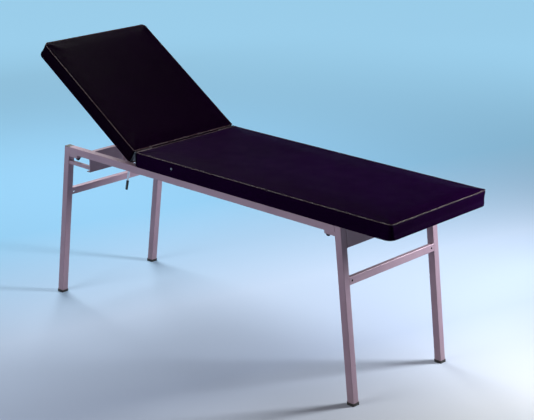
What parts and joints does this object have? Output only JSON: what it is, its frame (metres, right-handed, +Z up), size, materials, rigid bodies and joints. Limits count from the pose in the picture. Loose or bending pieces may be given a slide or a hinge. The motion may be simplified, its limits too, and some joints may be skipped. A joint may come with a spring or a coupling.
{
  "type": "examination table",
  "caption": "Examination couch on splayed square tube legs, with a fixed padded section and a hinged backrest held by clamped quadrants.",
  "frame": {"origin": "on the floor, at the middle of the box round the table at rest, which is with its backrest raised 33.3 degrees", "axes": "+X towards the foot end, +Y towards the far side in the picture, +Z up"},
  "size_m": [1.8758, 0.57, 1.0876],
  "materials": {
    "frame_paint": "satin",
    "upholstery": "satin",
    "plywood": "matte",
    "rubber": "matte",
    "plug_plastic": "matte",
    "bright_steel": "polished",
    "zinc_steel": "satin"
  },
  "bodies": {
    "frame": {"clamp_bracket_far": "frame_paint", "clamp_bracket_near": "frame_paint", "clamp_lock_nut": "bright_steel", "clamp_shaft": "bright_steel", "clamp_washers": "bright_steel", "corner_bolts": "zinc_steel", "corner_nuts": "zinc_steel", "corner_tabs": "frame_paint", "foot_apron": "frame_paint", "foot_brace": "frame_paint", "foot_brace_screws": "zinc_steel", "foot_brace_spigots": "frame_paint", "foot_foot_far": "rubber", "foot_foot_near": "rubber", "foot_head_far": "rubber", "foot_head_near": "rubber", "head_apron": "frame_paint", "head_brace": "frame_paint", "head_brace_screws": "zinc_steel", "head_brace_spigots": "frame_paint", "head_strut_far": "frame_paint", "head_strut_near": "frame_paint", "hinge_cross_tube": "frame_paint", "hinge_pin_far": "zinc_steel", "hinge_pin_near": "zinc_steel", "leg_foot_far": "frame_paint", "leg_foot_near": "frame_paint", "leg_head_far": "frame_paint", "leg_head_near": "frame_paint", "leg_top_plugs": "plug_plastic", "middle_cross_tube": "frame_paint", "rail_far": "frame_paint", "rail_near": "frame_paint", "seat_board": "plywood", "seat_board_screws": "zinc_steel", "seat_cushion": "upholstery", "seat_hinge_leaf_far": "zinc_steel", "seat_hinge_leaf_near": "zinc_steel", "seat_hinge_screws": "zinc_steel", "seat_vents": "bright_steel"},
    "backrest": {"backrest_board": "plywood", "backrest_cushion": "upholstery", "backrest_hinge_leaf_far": "zinc_steel", "backrest_hinge_leaf_near": "zinc_steel", "backrest_hinge_screws": "zinc_steel", "quadrant_far": "frame_paint", "quadrant_near": "frame_paint", "quadrant_screws": "zinc_steel"},
    "clamp_lever": {"lever_grip": "rubber", "lever_hub": "bright_steel", "lever_rod": "bright_steel"}
  },
  "joints": [
    {"name": "backrest_tilt", "type": "hinge", "parent": "frame", "child": "backrest", "pos_m": [-0.35708, 0, 0.7275], "axis": [0, 1, 0], "range_deg": [-33.3, 6.7]},
    {"name": "lever_swing", "type": "hinge", "parent": "frame", "child": "clamp_lever", "pos_m": [-0.44508, 0, 0.655], "axis": [0, 1, 0], "range_deg": [-60, 0]}
  ]
}
